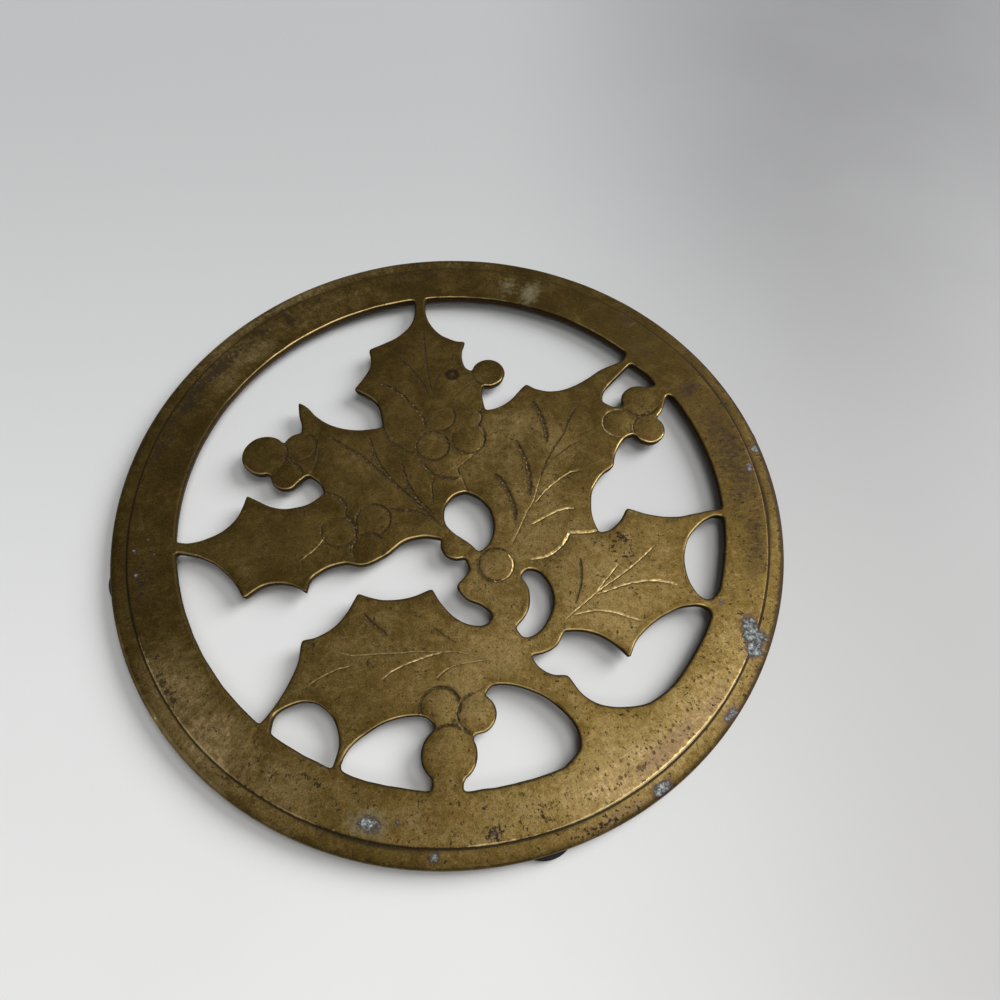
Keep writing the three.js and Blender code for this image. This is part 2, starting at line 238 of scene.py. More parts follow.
SCALE = [
    (151, 93.6, 22, 2, 0.85), (157.6, 93.4, 2.8, 2.2, 1.25), (146.6, 93.4, 6.5, 2.2, 1.25),
    (135, 93.4, 1.4, 2.6, 1.1), (129, 92.2, 1.2, 3, 1.2), (123, 93.6, 9, 1.6, 0.5),
    (168, 93.4, 7, 2.4, 0.55), (216.5, 94.4, 6, 1.5, 0.58), (210, 94.2, 3.6, 1.4, 0.5),
    (196, 92.6, 9, 2.6, 0.4), (246.4, 87.4, 3, 0.8, 0.8), (233.8, 98, 1.2, 0.9, 0.7),
    (238.5, 91, 5, 1.2, 0.35), (285.3, 92, 1.1, 1.3, 0.7), (277, 93.6, 1.9, 1.7, 0.7),
    (280.6, 95, 2, 0.8, 0.5), (270.8, 91.9, 0.8, 0.7, 0.5), (293, 99.6, 8, 1.2, 0.42),
    (98, 94.6, 9, 1.3, 0.5),
]
STAIN = [
    (308, 93, 15, 2.8, 1), (319, 94, 9, 2, 0.7), (297, 99.4, 14, 1.6, 0.7), (319.6, 99.7, 4.6, 1.7, 0.9),
]
SMUDGE = [
    (352, 93, 14, 3.4, 0.6), (11, 91, 24, 7, 0.66), (2, 101, 80, 1.3, 1.2), (330, 101, 34, 0.9, 0.9),
    (50.5, 94, 4, 2.4, 0.9), (58, 93.4, 5, 1.6, 0.6), (28.6, 89, 3, 5, 0.9), (43, 88, 8, 3, 0.6),
    (103, 93, 9, 2.2, 0.6), (92, 94, 5, 1.6, 0.5), (196, 92, 14, 4, 0.5), (2, 89, 9, 3, 0.5),
]
RUBBED = [
    (311, 93, 30, 6, 1.2), (303, 88, 40, 8, 0.35), (226, 92, 26, 8, 1.3), (136, 90, 36, 8, 1.4),
    (122, 99.4, 55, 2.6, 1.9),
]
DULL = [
    (6, 91, 40, 9, 2), (44, 91, 34, 9, 1.1), (330, 88, 16, 6, 0.4), (266, 99.5, 34, 2.6, 1),
    (186, 92, 26, 9, 0.7), (345, 99.5, 24, 2.6, 0.8), (312, 99.6, 34, 2.4, 0.9),
]
# Edges where the painted highlight and the wear are left off, and the lip's edge and the step, where they are
# laid on
EDGE_UNWORN_AND_UNLIT = [(68, 84, 24, 6, 0.8), (47, 70, 10, 8, 0.6), (12, 84, 20, 6, 0.7)]
RIM_WORN_AND_LIT = [(222, 100.7, 38, 0.45, 1), (262, 100.9, 20, 0.3, 0.5)]
STEP_WORN_AND_LIT = [
    (308, 96, 38, 4, 1), (213, 96, 12, 4, 0.7), (228, 96, 14, 4, 1), (246, 96, 12, 4, 0.5),
    (277, 96, 14, 4, 0.5),
]
PITTED = [
    (310, 91, 42, 5.4, 1), (283, 91, 24, 5, 0.8), (330, 88, 12, 4, 0.7), (325, 99, 40, 1.8, 0.7),
    (255, 90, 30, 5, 0.3), (0, 90, 30, 5, 0.25),
]

# Round dark blots on the leaves: x, y, radius, strength
BLOTS = [(-0.9, 48.3, 2.45, 1), (-19.5, 58.6, 1.7, 0.45)]

# Dark marks and rubbed places on the leaves: x, y, half width, half height, strength
LEAF_MARKS = [
    (-19, 58.2, 3, 2, 0.45), (-38.5, -44.6, 1.7, 1.3, 0.62), (51.3, -12.3, 3.8, 2.6, 0.46),
    (53, -16.8, 1.9, 1.7, 0.44), (47.5, -15.5, 1.6, 1.4, 0.4), (-22.5, -49.5, 2, 1.2, 0.3),
    (62, 33, 3, 2, 0.4),
]
RUBBED_LEAVES = [
    (22, 18, 15, 19, 0.7), (16, -42, 15, 9, 0.5), (-18, -42, 14, 8, 0.4), (5, 38, 30, 20, 0.2),
]


def radii(points):
    return np.hypot(points[:, 0], points[:, 1])


def between(a, b, start, end, t):
    """Straight from a at the start to b at the end."""
    return (end - t) / (end - start) * a + (t - start) / (end - start) * b


def smooth_path(points, closed, fine, spacing):
    """Points `spacing` apart along a centripetal spline, first followed in `fine` steps."""
    points = np.array(points, float)
    count = len(points)
    if closed:
        guides = np.vstack([points[-1], points, points[:2]])
    else:
        guides = np.vstack([2 * points[0] - points[1], points, 2 * points[-1] - points[-2]])
    result = []
    for i in range(count if closed else count - 1):
        p0, p1, p2, p3 = guides[i:i + 4]
        gaps = [max(np.linalg.norm(b - a), 1e-6) ** 0.5 for a, b in ((p0, p1), (p1, p2), (p2, p3))]
        t0, t1, t2, t3 = np.cumsum([0] + gaps)
        steps = max(1, round(np.linalg.norm(p2 - p1) / fine))
        t = np.linspace(t1, t2, steps, endpoint=False)[:, None]
        a1, a2, a3 = between(p0, p1, t0, t1, t), between(p1, p2, t1, t2, t), between(p2, p3, t2, t3, t)
        b1, b2 = between(a1, a2, t0, t2, t), between(a2, a3, t1, t3, t)
        result.append(between(b1, b2, t1, t2, t))
    result.append(result[0][:1] if closed else points[-1:])
    path = np.vstack(result)
    along = np.concatenate([[0], np.cumsum(np.linalg.norm(np.diff(path, axis=0), axis=1))])
    count = max(3, round(along[-1] / spacing))
    wanted = np.linspace(0, along[-1], count if closed else count + 1, endpoint=not closed)
    return np.column_stack([np.interp(wanted, along, path[:, axis]) for axis in (0, 1)])


def waves(points, shortest, longest, count, seed):
    """Smooth unevenness between about -1 and 1, from a few crossing waves."""
    rng = random.Random(seed)
    total = np.zeros(len(points))
    for _ in range(count):
        length = rng.uniform(shortest, longest)
        turn = rng.uniform(0, math.tau)
        shift = rng.uniform(0, math.tau)
        across = points[:, 0] * math.cos(turn) + points[:, 1] * math.sin(turn)
        total += np.sin(math.tau * across / length + shift)
    return total / math.sqrt(count) / WAVE_PEAK


def left_normals(path, closed=True):
    """Unit vectors to the left of the path at each of its points."""
    if closed:
        along = np.roll(path, -1, axis=0) - np.roll(path, 1, axis=0)
    else:
        along = np.gradient(path, axis=0)
    along /= np.maximum(np.linalg.norm(along, axis=1, keepdims=True), 1e-9)
    return np.column_stack([-along[:, 1], along[:, 0]])


def face_outlines(mesh, height):
    """Closed outlines of a mesh's flat face at one height."""
    uses = Counter()
    for triangle in mesh.polygons:
        corners = [mesh.vertices[i].co / MM for i in triangle.vertices]
        if all(abs(z - height) < 1e-3 for _, _, z in corners):
            keys = [(round(x, 3), round(y, 3)) for x, y, _ in corners]
            uses.update(tuple(sorted(edge)) for edge in zip(keys, keys[1:] + keys[:1]))
    following = {}
    for (start, end), count in uses.items():
        if count == 1:
            following.setdefault(start, []).append(end)
            following.setdefault(end, []).append(start)
    outlines = []
    left = set(following)
    while left:
        outline, steps = [], [min(left)]
        while steps:
            outline.append(steps[0])
            left.remove(steps[0])
            steps = [point for point in following[steps[0]] if point in left]
        outlines.append(outline)
    return outlines


def opening_outlines():
    """The openings' edges, smooth, with the slight wander of a filed casting."""
    outlines = []
    for raw in face_outlines(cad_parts["openwork_plate"].data, PLATE_BOTTOM):
        path = smooth_path(raw, True, TRACE_SPACING, OUTLINE_SPACING)
        x, y = path.T
        if np.ptp(x) > 1.9 * STEP_RADIUS:
            continue  # The rim
        clockwise = np.sum(x * np.roll(y, -1) - np.roll(x, -1) * y) < 0
        if clockwise:
            path = path[::-1].copy()
        path += left_normals(path) * (OUTLINE_WOBBLE * waves(path, 5, 16, 9, SEED))[:, None]
        outlines.append(path)
    return outlines


def nearest(targets, points):
    """Index of, and distance to, each point's nearest target."""
    tree = KDTree(len(targets))
    for index, (x, y) in enumerate(targets):
        tree.insert((x, y, 0), index)
    tree.balance()
    found = [tree.find((x, y, 0)) for x, y in points]
    return np.array([hit[1] for hit in found]), np.array([hit[2] for hit in found])


def distance_to_openings(outlines, points):
    """Each point's distance from the nearest opening's edge."""
    starts = np.vstack(outlines)
    ends = np.vstack([np.roll(path, -1, axis=0) for path in outlines])
    before = np.vstack([np.roll(path, 1, axis=0) for path in outlines])
    hits, _ = nearest(starts, points)
    best = np.full(len(points), np.inf)
    for a, b in ((starts[hits], ends[hits]), (before[hits], starts[hits])):
        along = b - a
        share = np.sum((points - a) * along, axis=1) / np.maximum(np.sum(along ** 2, axis=1), 1e-12)
        foot = a + np.clip(share, 0, 1)[:, None] * along
        best = np.minimum(best, np.linalg.norm(points - foot, axis=1))
    return best


def berry_arc(x, y, radius, start, end, *_):
    """Points along a berry's line, about 12 degrees apart."""
    turns = np.radians(np.linspace(start, end, max(4, int(abs(end - start) / 12))))
    return [(x + radius * math.cos(turn), y + radius * math.sin(turn)) for turn in turns]


def stroke_samples():
    """Dense samples along every engraved line, in the columns named above."""
    rng = random.Random(SEED)
    strokes = [(*vein[:3], 0, VEIN_DOTS, vein[3]) for vein in VEINS]
    strokes += [(*overlap[:4], OVERLAP_DOTS, overlap[4]) for overlap in OVERLAPS]
    strokes += [(BERRY_LINE_WIDTH, *berry[5:], 0, BERRY_DOTS, berry_arc(*berry)) for berry in BERRY_LINES]
    rows = []
    for width, strength, light, side, dots, points in strokes:
        path = smooth_path(points, False, STROKE_TRACE_SPACING, SAMPLE_SPACING)
        count = len(path)
        share = np.linspace(0, 1, count)
        if dots > VEIN_DOTS:
            taper = np.minimum(1, 0.6 + 2 * np.sin(math.pi * share))
        else:
            taper = np.minimum(1, 0.25 + 1.5 * np.sin(math.pi * share) ** 0.7)
        beat = rng.uniform(0.8, 1.15)
        turns = math.tau * share * count * SAMPLE_SPACING / beat + rng.uniform(0, 6)
        punches = 1 - dots * (0.5 + 0.5 * np.sin(turns))
        uneven = np.clip(1 + 0.3 * waves(path, 0.9, 4, 8, rng.random()), 0.4, 1.5)
        wobble = STROKE_WOBBLE * waves(path, 1, 4, 7, rng.random())
        path = path + left_normals(path, False) * wobble[:, None]
        half = 0.5 * width * (0.5 + 0.5 * taper) * uneven * (1.02 - 0.26 * light)
        depth = GROOVE_DEPTH * min(1, width / FULL_DEPTH_WIDTH) * taper * punches * strength
        depth *= 0.6 + 0.4 * light
        shown = strength * (0.35 + 0.65 * taper) * (0.6 + 0.4 * punches)
        shown = np.clip(shown * (1 + 0.38 * waves(path, 0.8, 5, 8, rng.random())), 0, 1)
        rows.append(np.column_stack([
            path, half, depth, left_normals(path, False), np.full(count, side), shown, np.full(count, light),
        ]))
    return np.vstack(rows)


def mound(points, blobs):
    """Strongest of some soft elliptic patches at each point."""
    total = np.zeros(len(points))
    for x, y, half_width, half_height, strength in blobs:
        reach = ((points[:, 0] - x) / half_width) ** 2 + ((points[:, 1] - y) / half_height) ** 2
        total = np.maximum(total, strength * np.exp(-MARK_FALLOFF * reach))
    return total


def band_marks(points, marks):
    """The same for marks that follow the band."""
    turn = np.degrees(np.arctan2(points[:, 1], points[:, 0]))
    radius = radii(points)
    total = np.zeros(len(points))
    for angle, middle, half_length, half_width, strength in marks:
        along = np.radians((turn - angle + 180) % 360 - 180) * middle / half_length
        across = (radius - middle) / half_width
        total = np.maximum(total, strength * np.exp(-MARK_FALLOFF * (along ** 2 + across ** 2)))
    return total


def blots(points):
    total = np.zeros(len(points))
    for x, y, radius, strength in BLOTS:
        share = np.hypot(points[:, 0] - x, points[:, 1] - y) / radius
        rim = 1 - 0.45 * np.exp(-(share / 0.5) ** 2)
        total = np.maximum(total, strength * rim / (1 + np.exp(np.minimum((share - 1) * 12, 700))))
    return total


def engraving(samples, points):
    """Height of the lines at each point, and masks of their dirt and painted shade, their painted highlights,
    and the painted shade round them.
    """
    hits, away = nearest(samples[:, PLACE], points)
    found = samples[hits]
    half, shown = found[:, HALF_WIDTH], found[:, SHOWN]
    light = np.clip(found[:, BRIGHT] * 1.3 - 0.3, 0, 1)
    share = away / half
    cut = found[:, DEPTH] * np.clip(1 - share ** 2, 0, 1)
    burr = BURR_HEIGHT * light * np.exp(-((share - 1.35) / 0.3) ** 2)
    offset = points - found[:, PLACE]
    side = np.sign(np.sum(offset * found[:, NORMAL], axis=1)) * found[:, LOW_SIDE]
    drop = np.where(side > 0, OVERLAP_DROP * np.exp(-(away / OVERLAP_FADE) ** 1.5), 0)
    across = np.sum(offset * LIT_SIDE, axis=1) / half
    fade = np.exp(-(share / 1.7) ** 4)
    dark = shown * fade * np.maximum(
        (1 - light) * np.exp(-((across + 0.05) / 1.2) ** 4),
        0.8 * light * np.exp(-((across + 1.15) / 0.5) ** 2),
    )
    bright = shown * fade * np.maximum(
        light * np.exp(-((across - 0.2) / 0.8) ** 2),
        0.16 * (1 - light) * np.exp(-((across - 1.35) / 0.4) ** 2),
    )
    return burr - cut - drop, dark, bright, np.exp(-(away / 0.9) ** 2) * shown


def stroke_rows(samples):
    """Mesh points along the lines, in rows across each of them."""
    path = samples[::round(STROKE_SPACING / SAMPLE_SPACING)]
    half = path[:, [HALF_WIDTH]]
    return np.vstack([path[:, PLACE] + path[:, NORMAL] * (half * share) for share in STROKE_ROWS])


def step_radius(points):
    """Radius of the low step at each point's angle, not quite true."""
    turn = np.arctan2(points[:, 1], points[:, 0])
    return STEP_RADIUS + 0.1 * np.sin(3 * turn + 0.7) + 0.06 * np.sin(11 * turn + 2)


def rim_profile(points):
    """Height of the rim below the flat face: arris, step and rounded lip."""
    out = radii(points) - step_radius(points)
    rounded = -STEP_ARRIS_DROP * np.clip(1 + out / STEP_ARRIS, 0, 1) ** 2
    step = np.clip(out / STEP_RUN, 0, 1)
    lip = -STEP_ARRIS_DROP - (STEP_DROP - STEP_ARRIS_DROP) * step * step * (3 - 2 * step)
    from_edge = np.clip(1 - (PLATE_RADIUS - radii(points)) / LIP_ROUNDING_RUN, 0, 1)
    fall = LIP_ROUNDING * (1 - np.sqrt(np.clip(1 - from_edge ** 2.6, 0, 1)))
    return np.where(out < 0, rounded, lip) - fall


def berry_crowns(points):
    total = np.zeros(len(points))
    for x, y, radius, *_ in BERRY_LINES:
        share = np.hypot(points[:, 0] - x, points[:, 1] - y) / radius
        total = np.minimum(total, np.where(share < 1, -BERRY_CROWN * share ** 3, 0))
    return total


def thinned(points, spacing, taken=()):
    """Leaves out points that fall closer than about `spacing` to one already there."""
    cells = {(round(x / spacing), round(y / spacing)) for x, y in taken}
    kept = []
    for x, y in points:
        cell = (round(x / spacing), round(y / spacing))
        if cell not in cells:
            cells.add(cell)
            kept.append((x, y))
    return np.array(kept)


def hex_grid(spacing, radius):
    """Points in staggered rows over a disc."""
    rows = int(radius / (spacing * HEX_ROW_HEIGHT)) + 1
    columns = int(radius / spacing) + 1
    row, column = np.mgrid[-rows:rows + 1, -columns:columns + 1]
    x = column * spacing + (row % 2) * spacing / 2
    points = np.column_stack([x.ravel(), (row * spacing * HEX_ROW_HEIGHT).ravel()])
    return points[radii(points) < radius]


def inside_openings(outlines, points):
    inside = np.zeros(len(points), bool)
    for path in outlines:
        low, high = path.min(axis=0), path.max(axis=0)
        near = np.flatnonzero(np.all((points > low) & (points < high), axis=1))
        x, y = points[near, 0], points[near, 1]
        crossings = np.zeros(len(near), int)
        for (x0, y0), (x1, y1) in zip(path, np.roll(path, -1, axis=0)):
            spans = (y0 > y) != (y1 > y)
            if y1 != y0:
                crossings += spans & (x < x0 + (y - y0) / (y1 - y0) * (x1 - x0))
        inside[near] |= crossings % 2 == 1
    return inside


def ring(radius):
    """Points round a circle, one to each point of the rim."""
    turn = np.arange(RIM_POINTS) * math.tau / RIM_POINTS
    return np.column_stack([radius * np.cos(turn), radius * np.sin(turn)])


def triangulated(outlines, rim, loose):
    """The plate as points, triangles, and the order of the points round the rim and the openings."""
    loops = [rim] + outlines
    points = np.vstack(loops + [loose])
    edges, first = [], 0
    for loop in loops:
        count = len(loop)
        edges += [(first + i, first + (i + 1) % count) for i in range(count)]
        first += count
    result = delaunay_2d_cdt([Vector(point) for point in points], edges, [], 0, 1e-6, True)
    places = np.array([tuple(place) for place in result[0]])
    faces = np.array(result[2])
    origin = {source: index for index, sources in enumerate(result[3]) for source in sources}
    faces = faces[~inside_openings(outlines, places[faces].mean(axis=1))]
    return places, faces, [origin[i] for i in range(first)]


def face_points(outlines, samples):
    """Points of the face: rows by edges, lines, step and lip, a patch at each blot, and a grid."""
    edge_rows = [path - left_normals(path) * inset for path in outlines for inset in EDGE_ROWS]
    strokes = stroke_rows(samples)
    strokes = strokes[radii(strokes) < STEP_RADIUS - 2]
    patch = hex_grid(BLOT_SPACING, 3.4)
    patches = [patch + (x, y) for x, y, *_ in BLOTS]
    detail = thinned(np.vstack([*edge_rows, strokes, *patches]), NEAREST_POINTS)
    detail = detail[~inside_openings(outlines, detail)]
    grid = thinned(hex_grid(TOP_SPACING, STEP_RADIUS - 1.4), TOP_SPACING * 0.55, detail)
    grid = grid[~inside_openings(outlines, grid)]
    inner = np.vstack([detail, grid])
    inner = inner[distance_to_openings(outlines, inner) > NEAREST_TO_EDGE]
    rings = [ring(STEP_RADIUS + out) for out in STEP_ROWS] + [ring(radius) for radius in LIP_ROWS]
    return np.vstack([*rings, inner])


def face_heights(places, away, groove, fade):
    """Heights of the face, with carving, rounded edges and unevenness."""
    from_arris = np.clip(ARRIS_RADIUS - away, 0, None)
    arris = ARRIS_RADIUS - np.sqrt(np.clip(ARRIS_RADIUS ** 2 - from_arris ** 2, 0, None))
    undulation = FACE_UNDULATION * (waves(places, 14, 50, 14, SEED + 1) - 1.2)
    relief = rim_profile(places) + (groove + berry_crowns(places)) * fade - arris + undulation
    return PLATE_TOP + np.minimum(relief, 0)


def back_face(outlines):
    """Points, triangles and order for the flat back, a little hollow as cast."""
    outlines = [path - left_normals(path) * WALL_DRAFT for path in outlines]
    grid = hex_grid(BACK_SPACING, PLATE_RADIUS - 1.5)
    grid = grid[~inside_openings(outlines, grid)]
    grid = grid[distance_to_openings(outlines, grid) > NEAREST_TO_BACK_EDGE]
    places, faces, order = triangulated(outlines, ring(PLATE_RADIUS - BACK_EDGE_BREAK), grid)
    inwards = np.clip(distance_to_openings(outlines, places) / 3, 0, 1)
    hollow = BACK_UNDULATION * inwards * (waves(places, 9, 34, 16, SEED + 2) + 1.2) / 2.2
    return np.column_stack([places, PLATE_BOTTOM + np.clip(hollow, 0, None)]), faces, order


def wall_strips(vertices, loops, order, back_order):
    """Points and quads of the walls down the rim and each opening."""
    rim_foot = PLATE_BOTTOM + BACK_EDGE_BREAK
    extra, quads, first = [], [], 0
    for number, loop in enumerate(loops):
        is_rim = number == 0
        count = len(loop)
        top_row, back_row = order[first:first + count], back_order[first:first + count]
        first += count
        upper, lower = vertices[top_row], vertices[back_row]
        rows = [top_row]
        for share in WALL_ROWS + (1,) * is_rim:
            if is_rim:
                row = np.column_stack([loop, rim_foot + (1 - share) * (upper[:, 2] - rim_foot)])
            else:
                wobble = WALL_WOBBLE * waves(loop * (1 + share), 2, 7, 8, SEED + number)
                row = upper * (1 - share) + lower * share
                row[:, :2] += left_normals(loop) * wobble[:, None]
            start = len(vertices) + len(extra)
            extra.extend(row)
            rows.append(range(start, start + count))
        rows.append(back_row)
        for above, below in zip(rows, rows[1:]):
            for i in range(count):
                j = (i + 1) % count
                quad = (above[i], below[i], below[j], above[j])
                quads.append(quad if is_rim else quad[::-1])
    return np.array(extra), quads


def place_masks(flat, on_back):
    out = radii(flat) - step_radius(flat)
    return {
        "corrosion": band_marks(flat, CORROSION) * (1 - on_back),
        "haze": band_marks(flat, HAZE) * (1 - on_back),
        "scale": np.maximum(band_marks(flat, SCALE), mound(flat, LEAF_MARKS)),
        "stain": band_marks(flat, STAIN),
        "smudge": band_marks(flat, SMUDGE),
        "pitted": band_marks(flat, PITTED),
        # Lighter towards the lower right: partly rubbed brass, partly a painted sheen where the lamps catch
        # the face
        "polish_and_sheen": np.clip(0.5 + (0.4 * flat[:, 0] - 0.8 * flat[:, 1]) / (1.6 * PLATE_RADIUS), 0, 0.8),
        "rubbed": np.maximum(band_marks(flat, RUBBED), mound(flat, RUBBED_LEAVES)),
        "dull": band_marks(flat, DULL),
        "blot": blots(flat),
        # Painted highlight and wear on the step's edge
        "step": band_marks(flat, STEP_WORN_AND_LIT) * np.exp(-((out + 0.12) / 0.24) ** 2),
        # Dirt and painted shade in a dark line under the step
        "grime_and_shade_under_step": np.exp(-((out - 0.35) / 0.4) ** 4),
        "band": np.clip((radii(flat) - BAND_START) / (BAND_FULL - BAND_START), 0, 1),
    }


def edge_masks(outlines, places, away):
    """Masks along the openings: arris rubbed and painted as highlight, dark outline of painted shade, and
    dull margin.
    """
    hits, _ = nearest(np.vstack(outlines), places)
    into = np.vstack([left_normals(path) for path in outlines])[hits]
    # Edges that face the near side, more so towards the lower right, get the painted highlight and a thinner
    # painted shade
    towards = np.clip(0.5 + (places[:, 0] - places[:, 1]) / 120, 0, 1)
    handled_and_lit = np.clip((0.2 * towards * into[:, 0] - into[:, 1] - 0.3) / 0.4, 0, 1)
    handled_and_lit *= 1 - band_marks(places, EDGE_UNWORN_AND_UNLIT)
    return {
        "arris": handled_and_lit * np.exp(-((away - 0.36) / 0.24) ** 2),
        "outline": np.exp(-(away / (0.54 - 0.34 * handled_and_lit)) ** 4),
        "near_edge": np.exp(-(away / 2.6) ** 2),
    }


def add_layer(mesh, name, values):
    """Gives the mesh's points a value or a vector each, for the material to read."""
    kind, key = ("FLOAT_VECTOR", "vector") if values.ndim == 2 else ("FLOAT", "value")
    layer = mesh.attributes.new(name, kind, "POINT")
    layer.data.foreach_set(key, values.astype(np.float32).ravel())


def casting_mesh():
    """The plate as one closed mesh, with masks for its material."""
    outlines = opening_outlines()
    samples = stroke_samples()
    rim = ring(PLATE_RADIUS)
    places, faces, order = triangulated(outlines, rim, face_points(outlines, samples))
    away = distance_to_openings(outlines, places)
    groove, dark_line, bright_line, near_line = engraving(samples, places)
    fade = np.clip(away / 0.6, 0, 1)
    top = np.column_stack([places, face_heights(places, away, groove, fade)])
    back, back_faces, back_order = back_face(outlines)
    back_order = [len(top) + i for i in back_order]
    walls, quads = wall_strips(np.vstack([top, back]), [rim] + outlines, order, back_order)
    vertices = np.vstack([top, back, walls])
    polygons = [*faces, *(len(top) + back_faces[:, ::-1]), *quads]

    mesh = bpy.data.meshes.new("openwork_casting")
    mesh.from_pydata((vertices * MM).tolist(), [], [tuple(int(i) for i in face) for face in polygons])
    mesh.validate()
    mesh.polygons.foreach_set("use_smooth", [True] * len(mesh.polygons))

    counts = (len(top), len(back), len(walls))
    on_back, on_wall = np.repeat((0, 1, 0), counts), np.repeat((0, 0, 1), counts)
    flat = vertices[:, :2]
    face_masks = edge_masks(outlines, places, away)
    face_masks.update(dark_line=dark_line * fade, bright_line=bright_line * fade, near_line=near_line * fade)
    masks = place_masks(flat, on_back)
    masks.update({name: np.pad(values, (0, len(flat) - len(top))) for name, values in face_masks.items()})
    # Painted highlight and wear along part of the lip's outer edge
    masks["arris"] += band_marks(flat, RIM_WORN_AND_LIT) * (1 - on_wall)
    masks.update(wall=on_wall, back=on_back)
    for name, values in masks.items():
        add_layer(mesh, name, values)
    radius = radii(flat)
    outward = flat / np.maximum(radius, 1e-6)[:, None]
    add_layer(mesh, "spun", np.column_stack([radius * STREAK_RATIO, outward * STEP_RADIUS]) * MM)
    return mesh


class Value:
    """The output of a node, to reckon with as if it were a number."""

    def __init__(self, shader, socket):
        self.shader, self.socket = shader, socket

    def math(self, operation, other):
        return self.shader.node("Math", {0: self, 1: other}, operation=operation)

    def __add__(self, other):
        return self.math("ADD", other)

    def __sub__(self, other):
        return self.math("SUBTRACT", other)

    def __mul__(self, other):
        return self.math("MULTIPLY", other)

    def __or__(self, other):
        return self.math("MAXIMUM", other)

    def ramp(self, low, high, to_low=0, to_high=1, **settings):
        """Stretched from between low and high to between the other two."""
        return self.shader.node("MapRange", {
            "Value": self, "From Min": low, "From Max": high, "To Min": to_low, "To Max": to_high,
        }, **settings)

    def span(self, low, high):
        """A noise's usual range, stretched to between low and high."""
        return self.ramp(0.3, 0.7, low, high)

    def tint(self, a, b):
        """Colour a, turning into colour b as the value rises."""
        return self.shader.node("Mix", {0: self, 6: a, 7: b}, 2, data_type="RGBA")

    def level(self, a, b):
        """The same with numbers."""
        return self.shader.node("Mix", {0: self, 2: a, 3: b}, data_type="FLOAT")


class Shader:
    def __init__(self, name):
        self.material = bpy.data.materials.new(name)
        self.material.use_nodes = True
        self.tree = self.material.node_tree
        self.surface = self.tree.nodes["Principled BSDF"]
        self.place = self.node("TexCoord", output="Object")

    def node(self, kind, inputs=None, output=0, **settings):
        """Adds a node and gives the value of one of its outputs."""
        made = self.tree.nodes.new("ShaderNode" + kind)
        for key, value in settings.items():
            setattr(made, key, value)
        for key, value in (inputs or {}).items():
            self.feed(made.inputs[key], value)
        return Value(self, made.outputs[output])

    def feed(self, socket, value):
        if isinstance(value, Value):
            self.tree.links.new(value.socket, socket)
        elif value is not None:
            socket.default_value = value

    def set(self, **inputs):
        for key, value in inputs.items():
            self.feed(self.surface.inputs[key.replace("_", " ")], value)

    def mask(self, name, output="Fac"):
        """What the mesh carries under that name."""
        return self.node("Attribute", output=output, attribute_name=name)

    def noise(self, size, detail, roughness, stretch=None, turn=0, distortion=0.0, place=None):
        """Noise with features about `size` millimetres across, or `stretch` times that."""
        place = place or self.place
        if stretch:
            place = self.node("Mapping", {
                "Vector": place, "Rotation": (0, 0, math.radians(turn)), "Scale": stretch,
            }, vector_type="TEXTURE")
        return self.node("TexNoise", {
            "Vector": place, "Scale": 1 / (size * MM), "Detail": detail, "Roughness": roughness,
            "Distortion": distortion,
        })

    def cells(self, size):
        """Distance to the nearest of many scattered middles, and a chance value for each."""
        inputs = {"Vector": self.place, "Scale": 1 / (size * MM), "Randomness": 1.0}
        distance = self.node("TexVoronoi", inputs, "Distance")
        return distance, Value(self, distance.socket.node.outputs["Color"])

    def bump(self, height, distance, strength, normal=None):
        """Relief up to `distance` millimetres high, on top of any in `normal`."""
        return self.node("Bump", {
            "Height": height, "Distance": distance * MM, "Strength": strength, "Normal": normal,
        })


def rgb(*channels):
    """Linear colour from the 0 to 255 values that a screen shows."""
    shares = [channel / 255 for channel in channels]
    return (*(s / 12.92 if s <= 0.04045 else ((s + 0.055) / 1.055) ** 2.4 for s in shares), 1.0)


